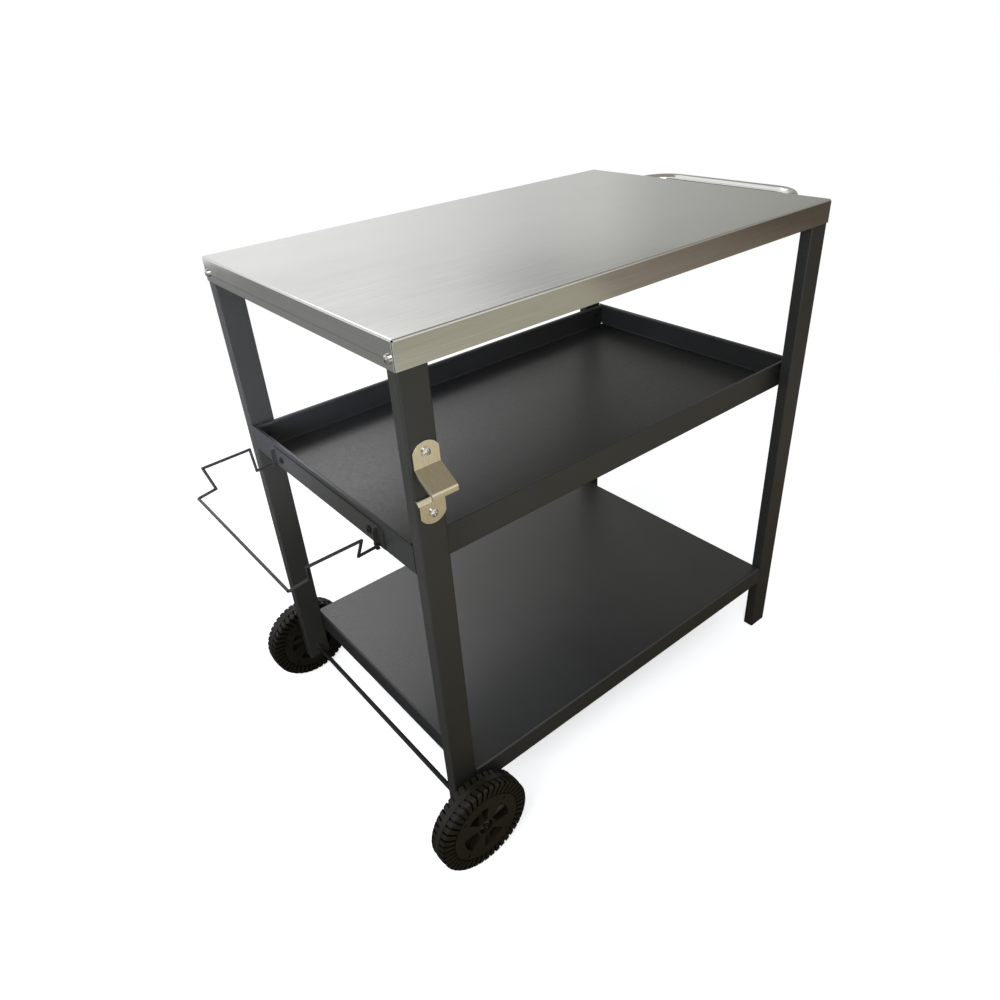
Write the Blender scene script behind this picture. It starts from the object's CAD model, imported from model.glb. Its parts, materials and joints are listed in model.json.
"""Looks for the grill prep cart: materials, softened edges, shelf welds, stage, lights and camera."""
import json
import math

import bmesh
import bpy
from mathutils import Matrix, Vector


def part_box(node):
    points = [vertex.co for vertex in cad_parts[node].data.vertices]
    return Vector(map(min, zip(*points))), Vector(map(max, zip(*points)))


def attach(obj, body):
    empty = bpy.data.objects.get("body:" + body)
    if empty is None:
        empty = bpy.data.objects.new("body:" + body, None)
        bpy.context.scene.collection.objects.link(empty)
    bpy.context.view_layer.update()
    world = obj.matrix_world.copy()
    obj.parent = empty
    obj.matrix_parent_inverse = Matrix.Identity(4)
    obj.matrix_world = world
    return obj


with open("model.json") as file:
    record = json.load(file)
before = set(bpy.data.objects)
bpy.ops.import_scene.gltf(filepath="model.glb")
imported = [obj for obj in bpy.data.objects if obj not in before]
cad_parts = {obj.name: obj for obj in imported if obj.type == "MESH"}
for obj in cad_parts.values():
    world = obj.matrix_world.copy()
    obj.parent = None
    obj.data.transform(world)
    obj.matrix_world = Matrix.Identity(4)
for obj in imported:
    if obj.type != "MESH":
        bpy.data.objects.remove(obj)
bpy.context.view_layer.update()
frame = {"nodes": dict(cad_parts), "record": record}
nodes = frame["nodes"]

MM = 0.001
BLACK = (0.0, 0.0, 0.0)
WHITE = (1.0, 1.0, 1.0)

# Places of the A, B and result sockets in a Mix node, which has a set for every kind of value
COLOUR_SOCKETS = (6, 7, 2)
NUMBER_SOCKETS = (2, 3, 0)

# Nearly all of a noise texture's output lies in this span
NOISE_SPAN = (0.3, 0.7)
RISING = (0.0, 1.0)
FALLING = (1.0, 0.0)


# Helpers for node trees

class Tree:
    """A node tree with short calls for the nodes that the materials use."""

    def __init__(self, tree):
        self.nodes = tree.nodes
        self.links = tree.links

    def add(self, kind, **settings):
        node = self.nodes.new(kind)
        for key, value in settings.items():
            setattr(node, key, value)
        return node

    def put(self, socket, value):
        """Joins an output to a socket, or writes a plain number or colour on it."""
        if isinstance(value, bpy.types.NodeSocket):
            self.links.new(value, socket)
        elif isinstance(value, (tuple, list)) and len(value) == 3 and socket.type == "RGBA":
            socket.default_value = (*value, 1.0)
        else:
            socket.default_value = value

    def coords(self, scale=(1, 1, 1), offset=(0, 0, 0)):
        """Object coordinates in metres, stretched by scale."""
        tex = self.add("ShaderNodeTexCoord")
        mapping = self.add("ShaderNodeMapping")
        mapping.inputs["Scale"].default_value = scale
        mapping.inputs["Location"].default_value = offset
        self.links.new(tex.outputs["Object"], mapping.inputs["Vector"])
        return mapping.outputs["Vector"]

    def split(self, vector):
        """The three parts of a vector."""
        node = self.add("ShaderNodeSeparateXYZ")
        self.links.new(vector, node.inputs[0])
        return node.outputs["X"], node.outputs["Y"], node.outputs["Z"]

    def place(self):
        """The x, y and z of the shaded point."""
        return self.split(self.coords())

    def facing(self):
        """The x, y and z of the surface's normal."""
        return self.split(self.add("ShaderNodeNewGeometry").outputs["Normal"])

    def noise(self, vector, scale=1.0, detail=2.0, rough=0.5):
        node = self.add("ShaderNodeTexNoise")
        node.inputs["Scale"].default_value = scale
        node.inputs["Detail"].default_value = detail
        node.inputs["Roughness"].default_value = rough
        self.links.new(vector, node.inputs["Vector"])
        return node.outputs["Fac"]

    def range(self, value, span, to=RISING):
        """Turns one span of values into another, and stops at both ends."""
        node = self.add("ShaderNodeMapRange")
        node.clamp = True
        for key, limit in zip(("From Min", "From Max", "To Min", "To Max"), (*span, *to)):
            node.inputs[key].default_value = limit
        self.put(node.inputs["Value"], value)
        return node.outputs["Result"]

    def math(self, kind, a, b=None):
        node = self.add("ShaderNodeMath", operation=kind)
        self.put(node.inputs[0], a)
        if b is not None:
            self.put(node.inputs[1], b)
        return node.outputs[0]

    def length(self, a, b):
        """Length of a step with the sides a and b."""
        return self.math("SQRT", self.math("ADD", self.math("MULTIPLY", a, a), self.math("MULTIPLY", b, b)))

    def mix_as(self, sockets, factor, a, b, **settings):
        node = self.add("ShaderNodeMix", **settings)
        first, second, result = sockets
        self.put(node.inputs["Factor"], factor)
        self.put(node.inputs[first], a)
        self.put(node.inputs[second], b)
        return node.outputs[result]

    def mix(self, factor, a, b, kind="MIX"):
        """Mixes two colours."""
        return self.mix_as(COLOUR_SOCKETS, factor, a, b, data_type="RGBA", blend_type=kind)

    def blend(self, factor, a, b):
        """Mixes two numbers."""
        return self.mix_as(NUMBER_SOCKETS, factor, a, b, data_type="FLOAT")

    def bump(self, height, distance, strength):
        node = self.add("ShaderNodeBump")
        node.inputs["Distance"].default_value = distance
        node.inputs["Strength"].default_value = strength
        self.links.new(height, node.inputs["Height"])
        return node.outputs["Normal"]

    def ramp(self, value, stops):
        """Colour ramp through (position, colour) stops."""
        node = self.add("ShaderNodeValToRGB")
        self.put(node.inputs["Fac"], value)
        elements = node.color_ramp.elements
        while len(elements) < len(stops):
            elements.new(0.5)
        for element, (position, colour) in zip(elements, stops):
            element.position = position
            element.color = (*colour, 1.0)
        return node.outputs["Color"]


def material(name):
    mat = bpy.data.materials.new(name)
    mat.use_nodes = True
    tree = Tree(mat.node_tree)
    return mat, tree, mat.node_tree.nodes["Principled BSDF"]


def darker(colour, share):
    return tuple(c * (1 - share) for c in colour)


# Materials

def brushed_sheet(name, colour, rough, grain):
    """Stainless sheet brushed along its length; the folded ends carry the grain across."""
    mat, t, bsdf = material(name)
    normal_x, _, _ = t.facing()
    ends = t.range(t.math("ABSOLUTE", normal_x), span=(0.6, 0.8))

    def brushing(along, across, offset, detail, noise_rough):
        """Lines of one width, with their waves per metre along and across the grain."""
        lengthways = t.noise(t.coords((along, across, across), offset), detail=detail, rough=noise_rough)
        sideways = t.noise(t.coords((across, along, across), offset), detail=detail, rough=noise_rough)
        return t.blend(ends, lengthways, sideways)

    fine = brushing(along=12, across=1100, offset=(0, 0, 0), detail=2.0, noise_rough=0.6)
    wide = brushing(along=3, across=420, offset=(3, 1, 2), detail=2.0, noise_rough=0.5)
    broad = brushing(along=1.6, across=150, offset=(2, 3, 1), detail=3.0, noise_rough=0.6)
    fine_share, wide_share, broad_share = 0.50, 0.30, 0.20
    coarse = t.math("ADD", t.math("MULTIPLY", wide, wide_share), t.math("MULTIPLY", broad, broad_share))
    streak = t.math("ADD", t.math("MULTIPLY", fine, fine_share), coarse)
    cloud = t.noise(t.coords((5, 7, 7), offset=(1, 4, 2)), scale=1.0, detail=4.0, rough=0.6)
    tone = t.range(streak, span=(0.38, 0.62))
    t.put(bsdf.inputs["Base Color"], t.mix(tone, darker(colour, grain), colour))
    smoother, rougher = -0.03, 0.04
    gloss = t.math("ADD", t.range(streak, span=(0.32, 0.68), to=(rough + smoother, rough + rougher)),
                   t.range(cloud, NOISE_SPAN, to=(smoother, rougher)))
    t.put(bsdf.inputs["Roughness"], gloss)
    bsdf.inputs["Metallic"].default_value = 1.0
    t.put(bsdf.inputs["Normal"], t.bump(fine, distance=0.01 * MM, strength=0.1))
    return mat


def powder_coat(name, dark, light, rough, peel, dust=0.0, shine=0.5):
    """Sprayed coat on steel: orange peel, slight mottling, pale specks and a little dust on flat tops."""
    mat, t, bsdf = material(name)
    plain = t.coords()
    fine = t.noise(plain, scale=950.0, detail=2.0, rough=0.5)
    middle = t.noise(plain, scale=230.0, detail=3.0, rough=0.5)
    cloud = t.noise(plain, scale=7.0, detail=3.0, rough=0.6)
    colour = t.mix(t.range(cloud, NOISE_SPAN), dark, light)
    speck_noise = t.noise(t.coords(offset=(5, 3, 1)), scale=620.0, detail=2.0, rough=0.6)
    speck_share, speck_gain = 0.35, 2.2
    speck = t.math("MULTIPLY", t.range(speck_noise, span=(0.66, 0.76)), speck_share)
    colour = t.mix(speck, colour, tuple(c * speck_gain for c in light))
    if dust:
        _, _, normal_z = t.facing()
        level = t.range(normal_z, span=(0.75, 0.98))
        dust_noise = t.noise(t.coords(offset=(2, 7, 1)), scale=16.0, detail=4.0, rough=0.6)
        film = t.range(dust_noise, span=(0.35, 0.8), to=(0.0, dust))
        dust_colour = (0.30, 0.29, 0.27)
        colour = t.mix(t.math("MULTIPLY", level, film), colour, dust_colour)
    t.put(bsdf.inputs["Base Color"], colour)
    t.put(bsdf.inputs["Roughness"], t.range(middle, NOISE_SPAN, to=(rough - 0.04, rough + 0.05)))
    bsdf.inputs["Specular IOR Level"].default_value = shine
    middle_height = 0.6
    height = t.math("ADD", fine, t.math("MULTIPLY", middle, middle_height))
    t.put(bsdf.inputs["Normal"], t.bump(height, distance=0.05 * MM, strength=peel))
    return mat


def plastic(name, dark, light, rough, shine=0.45):
    """Moulded plastic with a fine spark texture and slight mottling."""
    mat, t, bsdf = material(name)
    plain = t.coords()
    fine = t.noise(plain, scale=700.0, detail=3.0, rough=0.6)
    cloud = t.noise(plain, scale=26.0, detail=3.0, rough=0.6)
    t.put(bsdf.inputs["Base Color"], t.mix(t.range(cloud, span=(0.35, 0.7)), dark, light))
    t.put(bsdf.inputs["Roughness"], t.range(cloud, NOISE_SPAN, to=(rough - 0.06, rough + 0.08)))
    bsdf.inputs["Specular IOR Level"].default_value = shine
    t.put(bsdf.inputs["Normal"], t.bump(fine, distance=0.06 * MM, strength=0.4))
    return mat


def tread(name, groove, crown, rough, shine):
    """Moulded tread: dark down in the cuts, greyer where the lugs and the middle band rub the ground."""
    mat, t, bsdf = material(name)
    low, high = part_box("tyre_front")
    centre = [(a + b) / 2 for a, b in zip(low, high)]
    radius = (high[2] - low[2]) / 2
    half_width = (high[1] - low[1]) / 2
    plain = t.coords()
    x, y, z = t.split(plain)
    from_axle = t.length(t.math("SUBTRACT", x, centre[0]), t.math("SUBTRACT", z, centre[2]))
    from_middle = t.math("ABSOLUTE", t.math("SUBTRACT", t.math("ABSOLUTE", y), abs(centre[1])))
    worn_tops = t.range(from_axle, span=(radius - 2.6 * MM, radius - 0.6 * MM))
    worn_sides = t.range(from_middle, span=(half_width - 2.0 * MM, half_width - 0.4 * MM))
    cloud = t.noise(plain, scale=60.0, detail=4.0, rough=0.65)
    least_worn = 0.55
    worn = t.math("MULTIPLY", t.math("MAXIMUM", worn_tops, worn_sides),
                  t.range(cloud, span=(0.25, 0.7), to=(least_worn, 1.0)))
    t.put(bsdf.inputs["Base Color"], t.mix(worn, groove, crown))
    t.put(bsdf.inputs["Roughness"], t.range(cloud, NOISE_SPAN, to=(rough - 0.05, rough + 0.08)))
    bsdf.inputs["Specular IOR Level"].default_value = shine
    fine = t.noise(plain, scale=900.0, detail=3.0, rough=0.6)
    t.put(bsdf.inputs["Normal"], t.bump(fine, distance=0.08 * MM, strength=0.7))
    return mat


def metal(name, colour, rough, mottle, scale, bump, stretch=(1, 1, 1)):
    """Plain plated or polished metal with faint mottling."""
    mat, t, bsdf = material(name)
    fine = t.noise(t.coords(stretch), scale, detail=3.0, rough=0.6)
    cloud = t.noise(t.coords(), scale=40.0, detail=3.0, rough=0.6)
    t.put(bsdf.inputs["Base Color"], t.mix(t.range(fine, NOISE_SPAN), darker(colour, mottle), colour))
    t.put(bsdf.inputs["Roughness"], t.range(cloud, NOISE_SPAN, to=(rough * 0.8, rough * 1.25)))
    bsdf.inputs["Metallic"].default_value = 1.0
    t.put(bsdf.inputs["Normal"], t.bump(fine, distance=0.02 * MM, strength=bump))
    return mat


RECIPES = (
    ("top_steel", brushed_sheet, {"colour": (0.675, 0.675, 0.66), "rough": 0.12, "grain": 0.08}),
    ("frame_coat", powder_coat, {"dark": (0.0235, 0.0227, 0.0190), "light": (0.0305, 0.0293, 0.0247),
                                 "rough": 0.40, "peel": 0.5, "shine": 0.42}),
    ("sheet_coat", powder_coat, {"dark": (0.0175, 0.0177, 0.0172), "light": (0.0230, 0.0233, 0.0228),
                                 "rough": 0.40, "peel": 0.4, "dust": 0.012, "shine": 0.6}),
    ("black_plastic", plastic, {"dark": (0.008, 0.008, 0.008), "light": (0.014, 0.014, 0.014), "rough": 0.5}),
    ("hub_plastic", plastic, {"dark": (0.0090, 0.0076, 0.0042), "light": (0.0130, 0.0108, 0.0064),
                              "rough": 0.36, "shine": 0.35}),
    ("tread_plastic", tread, {"groove": (0.0030, 0.0025, 0.0014), "crown": (0.0150, 0.0125, 0.0075),
                              "rough": 0.34, "shine": 0.24}),
    ("axle_steel", metal, {"colour": (0.30, 0.285, 0.24), "rough": 0.34, "mottle": 0.2, "scale": 500.0,
                           "bump": 0.3, "stretch": (1, 0.05, 1)}),
    ("bright_fasteners", metal, {"colour": (0.66, 0.65, 0.61), "rough": 0.12, "mottle": 0.14, "scale": 600.0,
                                 "bump": 0.3}),
    ("dark_fasteners", powder_coat, {"dark": (0.009, 0.0085, 0.0068), "light": (0.013, 0.012, 0.010),
                                     "rough": 0.34, "peel": 0.3, "shine": 0.2}),
    ("handle_chrome", metal, {"colour": (0.77, 0.77, 0.76), "rough": 0.09, "mottle": 0.04, "scale": 120.0,
                              "bump": 0.1}),
    ("opener_steel", metal, {"colour": (0.72, 0.66, 0.52), "rough": 0.17, "mottle": 0.2, "scale": 1500.0,
                             "bump": 0.2, "stretch": (1, 0.04, 0.04)}),
    ("ring_wire", powder_coat, {"dark": (0.010, 0.010, 0.010), "light": (0.014, 0.014, 0.014),
                                "rough": 0.30, "peel": 0.3}),
)
MATERIALS = {name: make(name, **settings) for name, make, settings in RECIPES}

for part in frame["record"]["subparts"]:
    obj = nodes[part["node"]]
    obj.data.materials.clear()
    obj.data.materials.append(MATERIALS[part["material_slot"]])


# Softened edges on the cut and folded sheet

EDGE_WIDTHS = {
    "tray_pan": 0.3 * MM, "lower_shelf": 0.3 * MM, "bag_bracket": 0.3 * MM, "handle_rail": 0.3 * MM,
    "opener_hood": 0.35 * MM, "opener_catch": 0.35 * MM, "top_panel": 0.35 * MM,
    "handle_flanges": 0.4 * MM, "foot_plugs": 0.5 * MM,
}
EDGE_SEGMENTS = 2
EDGE_ANGLE = math.radians(34)
SAME_POINT = 0.02 * MM


def soften(name, width):
    obj = nodes[name]
    weld = obj.modifiers.new("weld", "WELD")
    weld.merge_threshold = SAME_POINT
    bevel = obj.modifiers.new("edges", "BEVEL")
    bevel.width = width
    bevel.segments = EDGE_SEGMENTS
    bevel.limit_method = "ANGLE"
    bevel.angle_limit = EDGE_ANGLE
    bevel.harden_normals = False
    weighted = obj.modifiers.new("normals", "WEIGHTED_NORMAL")
    weighted.keep_sharp = False


for name, width in EDGE_WIDTHS.items():
    soften(name, width)


def show(name, mesh, mat):
    """A new object in the scene, with its material."""
    obj = bpy.data.objects.new(name, mesh)
    bpy.context.scene.collection.objects.link(obj)
    obj.data.materials.append(mat)
    return obj


# Welded corners of the lower shelf

SHELF_FOLD = 4.0 * MM
SHELF_SHEET = 1.2 * MM
CAP_STEPS = 8
BEAD_R = 0.95 * MM
BEAD_SIDES = 12
# Height and width of the bead's rounded end, as shares of its radius
BEAD_END = ((0.0, 0.35), (0.35, 0.8), (1.0, 1.0))
WELD_SAME_POINT = 0.001 * MM


def weld_cap(bm, centre, sx, sy):
    """Eighth of a round shell that closes the notch between two folds."""
    quarter = math.pi / 2
    angles = [quarter * i / CAP_STEPS for i in range(CAP_STEPS + 1)]
    layers = []
    for radius in (SHELF_FOLD, SHELF_FOLD - SHELF_SHEET):
        grid = []
        for turn in angles:
            row = []
            for rise in angles:
                way = Vector((sx * math.cos(rise) * math.cos(turn), sy * math.cos(rise) * math.sin(turn),
                              math.sin(rise)))
                row.append(bm.verts.new(centre + radius * way))
            grid.append(row)
        for i in range(CAP_STEPS):
            for j in range(CAP_STEPS):
                bm.faces.new((grid[i][j], grid[i + 1][j], grid[i + 1][j + 1], grid[i][j + 1]))
        layers.append(grid)
    outer, inner = layers
    for k in range(CAP_STEPS):
        bm.faces.new((outer[k][0], outer[k + 1][0], inner[k + 1][0], inner[k][0]))
        for i in (0, CAP_STEPS):
            bm.faces.new((outer[i][k], outer[i][k + 1], inner[i][k + 1], inner[i][k]))


def weld_bead(bm, x, y, z_low, z_high):
    """Bead down the slit between two skirts, rounded off at its lower end."""
    levels = [(z_low + height * BEAD_R, width * BEAD_R) for height, width in BEAD_END]
    levels.append((z_high, BEAD_R))
    turns = [2 * math.pi * i / BEAD_SIDES for i in range(BEAD_SIDES)]
    rings = []
    for z, radius in levels:
        rings.append([bm.verts.new((x + radius * math.cos(a), y + radius * math.sin(a), z)) for a in turns])
    for lower, upper in zip(rings, rings[1:]):
        for i in range(BEAD_SIDES):
            j = (i + 1) % BEAD_SIDES
            bm.faces.new((lower[i], lower[j], upper[j], upper[i]))
    bm.faces.new(rings[0])
    bm.faces.new(rings[-1])


def shelf_weld(name, sx, sy):
    """Cap and bead in the corner on the sides sx and sy."""
    low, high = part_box("lower_shelf")
    x = high.x if sx > 0 else low.x
    y = high.y if sy > 0 else low.y
    bm = bmesh.new()
    weld_cap(bm, Vector((x - sx * SHELF_FOLD, y - sy * SHELF_FOLD, high.z - SHELF_FOLD)), sx, sy)
    weld_bead(bm, x - sx * BEAD_R, y - sy * BEAD_R, low.z, high.z - SHELF_FOLD + BEAD_R)
    bmesh.ops.remove_doubles(bm, verts=bm.verts, dist=WELD_SAME_POINT)
    bmesh.ops.recalc_face_normals(bm, faces=bm.faces)
    mesh = bpy.data.meshes.new(name)
    bm.to_mesh(mesh)
    bm.free()
    obj = show(name, mesh, MATERIALS["sheet_coat"])
    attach(obj, "cart")


for side, sx in (("left", -1), ("right", 1)):
    for face, sy in (("front", -1), ("back", 1)):
        shelf_weld(f"shelf_weld_{face}_{side}", sx, sy)


# Stage: floor and reflection cards

FLOOR_HALF = 30
FLOOR_Z = -0.4 * MM
FLOOR_FADE = (0.8, 2.6)
GROUND_HALF = 4.5
GROUND_Z = -0.1 * MM
CEILING_LOW = -2.6
CEILING_HIGH = 5.0
CEILING_Z = 3.9
WALL_R = 4.0
WALL_H = 3.2
WALL_STEPS = 48
RAMP_REACH = 4.0


def square(name, low, high, z, mat):
    """Level square from low to high along x and y."""
    corners = [(low, low, z), (high, low, z), (high, high, z), (low, high, z)]
    mesh = bpy.data.meshes.new(name)
    mesh.from_pydata(corners, [], [(0, 1, 2, 3)])
    obj = show(name, mesh, mat)
    return obj


def studio_rays(t):
    """1 for the rays that see the studio as the camera does, through metal and glass too."""
    path = t.add("ShaderNodeLightPath")
    return t.math("MAXIMUM", path.outputs["Is Camera Ray"],
                  t.math("MAXIMUM", path.outputs["Is Glossy Ray"], path.outputs["Is Transmission Ray"]))


def floor_material():
    """Pale floor that carries the shadow and is plain white far out; it lights the cart as a warm grey."""
    mat, t, bsdf = material("floor_paint")
    seen = studio_rays(t)
    x, y, _ = t.place()
    far_out = t.range(t.length(x, y), FLOOR_FADE)
    grain = t.noise(t.coords(), scale=60.0, detail=2.0, rough=0.5)
    off_white, white, warm_grey = (0.90, 0.90, 0.895), (0.92, 0.92, 0.915), (0.14, 0.115, 0.065)
    pale = t.mix(far_out, t.mix(grain, off_white, white), BLACK)
    t.put(bsdf.inputs["Base Color"], t.mix(seen, warm_grey, pale))
    bsdf.inputs["Roughness"].default_value = 0.9
    bsdf.inputs["Specular IOR Level"].default_value = 0.0
    glow = t.add("ShaderNodeEmission")
    t.put(glow.inputs["Color"], WHITE)
    near_glow, far_glow = 0.62, 1.0
    t.put(glow.inputs["Strength"], t.math("MULTIPLY", seen, t.blend(far_out, near_glow, far_glow)))
    both = t.add("ShaderNodeAddShader")
    t.links.new(bsdf.outputs[0], both.inputs[0])
    t.links.new(glow.outputs[0], both.inputs[1])
    out = next(n for n in t.nodes if n.type == "OUTPUT_MATERIAL")
    t.links.new(both.outputs[0], out.inputs["Surface"])
    return mat


square("floor", -FLOOR_HALF, FLOOR_HALF, FLOOR_Z, floor_material())


def card_material(name, make):
    mat = bpy.data.materials.new(name)
    mat.use_nodes = True
    t = Tree(mat.node_tree)
    t.nodes.clear()
    out = t.add("ShaderNodeOutputMaterial")
    glow = t.add("ShaderNodeEmission")
    glow.inputs["Strength"].default_value = 1.0
    t.put(glow.inputs["Color"], make(t))
    t.links.new(glow.outputs[0], out.inputs["Surface"])
    return mat


def only_in_gloss(obj):
    """Hides a card from all rays but the glossy ones, so that it shapes reflections and nothing else."""
    obj.visible_camera = False
    obj.visible_diffuse = False
    obj.visible_shadow = False
    obj.visible_transmission = False
    obj.visible_volume_scatter = False


def by_metres(stops):
    """Ramp stops given in metres."""
    return [(place / RAMP_REACH, colour) for place, colour in stops]


def at(degrees):
    """Place on the wall's ramps of an angle from the x axis."""
    return (degrees + 180.0) / 360.0


def by_degrees(stops):
    """Ramp stops given in degrees."""
    return [(at(place), colour) for place, colour in stops]


GROUND_FRONT = by_metres([
    (0.0, (0.07, 0.06, 0.04)), (0.3, (0.10, 0.085, 0.055)), (0.7, (0.38, 0.335, 0.24)),
    (1.1, (0.54, 0.49, 0.375)), (1.44, (0.80, 0.745, 0.60)), (1.76, (0.70, 0.665, 0.54)),
    (2.0, (0.46, 0.44, 0.345)), (4.0, (0.44, 0.425, 0.35))])
GROUND_RIGHT = by_metres([
    (0.0, (0.34, 0.29, 0.245)), (1.72, (0.33, 0.28, 0.235)), (2.4, (0.25, 0.21, 0.17)),
    (3.44, (0.125, 0.098, 0.072)), (4.0, (0.10, 0.08, 0.06))])
GROUND_LEFT = by_metres([
    (0.0, (0.05, 0.045, 0.035)), (0.46, (0.06, 0.055, 0.045)), (0.74, (0.29, 0.29, 0.28)),
    (1.08, (0.29, 0.29, 0.28)), (1.44, (0.27, 0.27, 0.262)), (4.0, (0.25, 0.25, 0.245))])
GROUND_SKY = (1.35, 1.42, 1.6)
GROUND_FAR_BACK = (0.24, 0.25, 0.27)
# Where the parts of the ground begin and end, in metres along x or y
DIM_X = (0.7, 1.5)
DIM_Y = (-1.75, -1.95)
RIGHT_EDGE = (0.74, 0.82)
SKY_X = (0.30, 0.50)
SKY_Y = (-1.55, -1.85)
FAR_BACK_X = (-1.3, -1.1)
FAR_BACK_Y = (1.5, 2.1)
LEFT_EDGE = (-0.15, 0.15)


def ground_tone(t):
    """Dark under the cart, lighter in front of it, brown beyond an edge at the right, grey at the left."""
    x, y, _ = t.place()
    front = t.ramp(t.math("MULTIPLY", y, -1 / RAMP_REACH), GROUND_FRONT)
    right_dim = 0.52
    dim = t.math("MAXIMUM", t.range(x, DIM_X, to=(1.0, right_dim)), t.range(y, DIM_Y))
    front = t.mix(1.0, front, dim, "MULTIPLY")
    right = t.ramp(t.math("MULTIPLY", x, 1 / RAMP_REACH), GROUND_RIGHT)
    slope = 0.5
    across = t.math("ADD", x, t.math("MULTIPLY", y, slope))
    front = t.mix(t.range(across, RIGHT_EDGE), front, right)
    sky = t.math("MULTIPLY", t.range(y, SKY_Y), t.range(x, SKY_X, FALLING))
    front = t.mix(sky, front, GROUND_SKY)
    left = t.ramp(t.math("MULTIPLY", x, -1 / RAMP_REACH), GROUND_LEFT)
    far_back = t.math("MULTIPLY", t.range(y, FAR_BACK_Y), t.range(x, FAR_BACK_X))
    left = t.mix(far_back, left, GROUND_FAR_BACK)
    leg_x, leg_y = -0.40, -0.25
    beside_leg = t.math("SUBTRACT", t.math("ADD", x, -leg_x), t.math("ADD", y, -leg_y))
    return t.mix(t.range(beside_leg, LEFT_EDGE, FALLING), front, left)


only_in_gloss(square("ground_card", -GROUND_HALF, GROUND_HALF, GROUND_Z,
                     card_material("ground_card", ground_tone)))

WALL_LOW = by_degrees([
    (-180, (0.42, 0.42, 0.40)), (-125, (0.5, 0.49, 0.46)), (-105, (1.1, 1.08, 1.0)),
    (-58, (1.1, 1.08, 1.0)), (-38, (0.36, 0.35, 0.31)), (15, (0.35, 0.35, 0.32)),
    (24, (0.37, 0.375, 0.345)), (37, (0.51, 0.515, 0.49)), (42, (0.67, 0.675, 0.65)),
    (49, (0.70, 0.705, 0.69)), (56, (0.82, 0.82, 0.81)), (64, (0.94, 0.94, 0.93)),
    (75, (1.0, 1.0, 0.995)), (135, (1.0, 1.0, 1.0)), (165, (0.75, 0.78, 0.82)),
    (180, (0.55, 0.56, 0.58))])
WALL_HIGH = by_degrees([
    (-180, (0.5, 0.5, 0.48)), (24, (0.40, 0.40, 0.37)), (42, (0.55, 0.55, 0.53)),
    (47, (0.85, 0.85, 0.84)), (56, (1.75, 1.75, 1.75)), (75, (1.75, 1.75, 1.75)),
    (105, (1.0, 1.0, 1.0)), (135, (0.6, 0.6, 0.6)), (180, (0.5, 0.5, 0.48))])
WALL_FOOT = (0.10, 0.08, 0.06)
# Where the parts of the wall begin and end: heights in metres, and angles on its ramps
FOOT_TOP = (0.3, 0.6)
FOOT_START = (at(-50), at(-36))
FOOT_END = (at(-8), at(8))
STRIPE_LOW = (1.86, 1.98)
STRIPE_HIGH = (2.15, 2.35)
STRIPE_END = (at(48), at(56))
BAND_CHANGE = (2.42, 2.75)


def wall_tone(t):
    """White behind and in front, grey at both ends; a dark foot at the right and a dim stripe high up."""
    x, y, z = t.place()
    turn = t.math("ARCTAN2", y, x)
    round_the_wall = t.math("DIVIDE", t.math("ADD", turn, math.pi), 2 * math.pi)
    low_band = t.ramp(round_the_wall, WALL_LOW)
    high_band = t.ramp(round_the_wall, WALL_HIGH)
    stripe_depth, stripe_left_over = 0.30, 0.25
    stripe = t.math("MINIMUM", t.range(z, STRIPE_LOW, to=(0.0, stripe_depth)),
                    t.range(z, STRIPE_HIGH, to=(stripe_depth, 0.0)))
    stripe = t.math("MULTIPLY", stripe, t.range(round_the_wall, STRIPE_END, to=(1.0, stripe_left_over)))
    low_band = t.mix(stripe, low_band, BLACK)
    foot = t.math("MINIMUM", t.range(round_the_wall, FOOT_START), t.range(round_the_wall, FOOT_END, FALLING))
    low_band = t.mix(t.math("MULTIPLY", foot, t.range(z, FOOT_TOP, FALLING)), low_band, WALL_FOOT)
    return t.mix(t.range(z, BAND_CHANGE), low_band, high_band)


def wall(name, make):
    """Round wall card, open at the top."""
    turns = [2 * math.pi * i / WALL_STEPS for i in range(WALL_STEPS)]
    ring = [(WALL_R * math.cos(a), WALL_R * math.sin(a)) for a in turns]
    verts = [(x, y, z) for x, y in ring for z in (0.0, WALL_H)]
    faces = []
    for low in range(0, 2 * WALL_STEPS, 2):
        next_low = (low + 2) % (2 * WALL_STEPS)
        faces.append((low, next_low, next_low + 1, low + 1))
    mesh = bpy.data.meshes.new(name)
    mesh.from_pydata(verts, [], faces)
    obj = show(name, mesh, card_material(name, make))
    only_in_gloss(obj)


wall("wall_card", wall_tone)

# Where the ceiling is open, as an angle and in metres along y
OPEN_TURN = (math.radians(52), math.radians(64))
OPEN_Y = (1.4, 1.9)


def ceiling_tone(t):
    """Warm grey overhead, so that faces turned up and forward aren't white; open and white at the back."""
    cloud = t.noise(t.coords(), scale=0.5, detail=1.0, rough=0.5)
    dim = t.mix(cloud, (0.31, 0.28, 0.23), (0.40, 0.37, 0.31))
    x, y, _ = t.place()
    turn = t.math("ARCTAN2", y, x)
    open_back = t.math("MULTIPLY", t.range(turn, OPEN_TURN), t.range(y, OPEN_Y))
    return t.mix(open_back, dim, WHITE)


only_in_gloss(square("ceiling_card", CEILING_LOW, CEILING_HIGH, CEILING_Z,
                     card_material("ceiling_card", ceiling_tone)))


# Light

def area(name, place, target, size, power, colour, spread=180, in_gloss=True):
    """Area lamp at a place in metres, turned towards a target, with its spread in degrees."""
    data = bpy.data.lights.new(name, "AREA")
    data.shape = "RECTANGLE"
    data.size, data.size_y = size
    data.energy = power
    data.color = colour
    data.spread = math.radians(spread)
    obj = bpy.data.objects.new(name, data)
    bpy.context.scene.collection.objects.link(obj)
    obj.location = place
    aim = Vector(target) - Vector(place)
    obj.rotation_mode = "QUATERNION"
    obj.rotation_quaternion = aim.to_track_quat("-Z", "Y")
    obj.visible_glossy = in_gloss
    return obj


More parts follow.
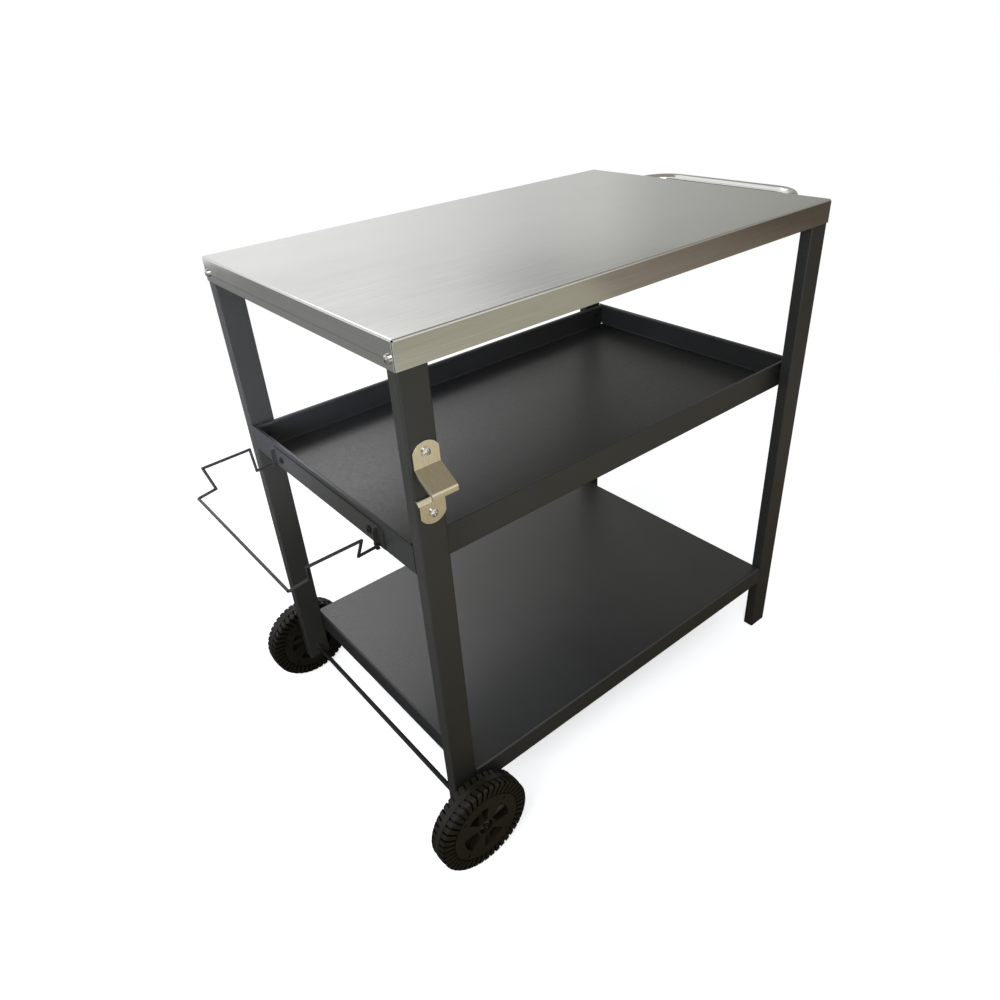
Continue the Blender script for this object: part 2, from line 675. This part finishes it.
area("key", place=(-1.1, -1.3, 2.1), target=(0.0, 0.0, 0.6), size=(1.1, 1.1), power=14.0,
     colour=(0.93, 0.97, 1.0))
area("left", place=(-1.15, -0.36, 0.78), target=(-0.3, 0.1, 0.60), size=(0.9, 0.6), power=8.5,
     colour=(0.80, 0.90, 1.0), in_gloss=False)
# A narrow lamp behind the plane of the front legs, so that it lights the back left leg and not the front one
leg_lamp = area("back_leg", place=(-0.78, 0.0, 0.70), target=(-0.36, 0.24, 0.65), size=(0.25, 0.25),
                power=1.65, colour=(0.69, 0.73, 1.0), spread=70, in_gloss=False)
leg_lamp.visible_camera = False
area("window", place=(0.85, 3.3, 3.3), target=(-0.1, 0.0, 0.4), size=(1.3, 1.3), power=22.0,
     colour=(1.0, 1.0, 0.99))


SOFT_COLOUR = (0.97, 0.98, 1.0)
SOFT_STRENGTH = 0.37


def studio_world():
    """Soft even light, seen as plain white by the camera and in metal."""
    world = bpy.data.worlds.new("studio")
    bpy.context.scene.world = world
    world.use_nodes = True
    t = Tree(world.node_tree)
    t.nodes.clear()
    out = t.add("ShaderNodeOutputWorld")
    mixer = t.add("ShaderNodeMixShader")
    t.links.new(studio_rays(t), mixer.inputs[0])
    for socket, colour, strength in ((1, SOFT_COLOUR, SOFT_STRENGTH), (2, WHITE, 1.0)):
        background = t.add("ShaderNodeBackground")
        t.put(background.inputs["Color"], colour)
        t.put(background.inputs["Strength"], strength)
        t.links.new(background.outputs[0], mixer.inputs[socket])
    t.links.new(mixer.outputs[0], out.inputs["Surface"])


studio_world()


# Camera, recovered from the straight edges in the photograph

CAMERA_PLACE = (-0.7459, -0.8928, 1.1038)
CAMERA_LENS = 27.452
# Turns about x, y and z, in degrees
CAMERA_TURNS = (57.696, 3.439, -39.444)

cam_data = bpy.data.cameras.new("camera")
cam_data.sensor_width = 36.0
cam_data.lens = CAMERA_LENS
cam_data.clip_start = 0.02
cam_data.clip_end = 100.0
cam = bpy.data.objects.new("camera", cam_data)
bpy.context.scene.collection.objects.link(cam)
cam.location = CAMERA_PLACE
cam.rotation_euler = [math.radians(turn) for turn in CAMERA_TURNS]
bpy.context.scene.camera = cam

bpy.context.scene.view_settings.view_transform = "Standard"

bpy.context.view_layer.update()
